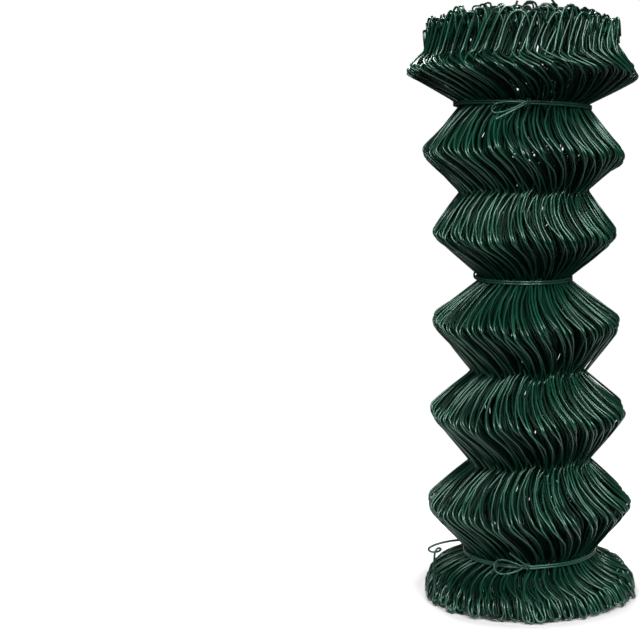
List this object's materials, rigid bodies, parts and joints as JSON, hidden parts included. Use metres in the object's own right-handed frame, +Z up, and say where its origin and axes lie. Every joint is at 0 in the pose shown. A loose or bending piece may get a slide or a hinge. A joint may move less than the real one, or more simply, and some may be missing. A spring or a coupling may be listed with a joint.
{
  "type": "roll of wire fencing",
  "caption": "Compact roll of green plastic-coated chain link fencing, stood on end, its folded zigzag wires wound into crests and waists and bound by tie wires",
  "frame": {"origin": "on the floor, on the axis of the roll", "axes": "+Z up along the axis of the roll; -Y faces the camera of the picture, with +X to its right"},
  "size_m": [0.2234, 0.2234, 0.5539],
  "materials": {
    "coated_mesh": "glossy plastic coat on steel wire",
    "coated_tie_wire": "glossy plastic coat on steel wire"
  },
  "bodies": {
    "root": {"mesh_roll": "coated_mesh", "bottom_tie_wire": "coated_tie_wire", "middle_tie_wire": "coated_tie_wire", "top_tie_wire": "coated_tie_wire"}
  },
  "joints": []
}
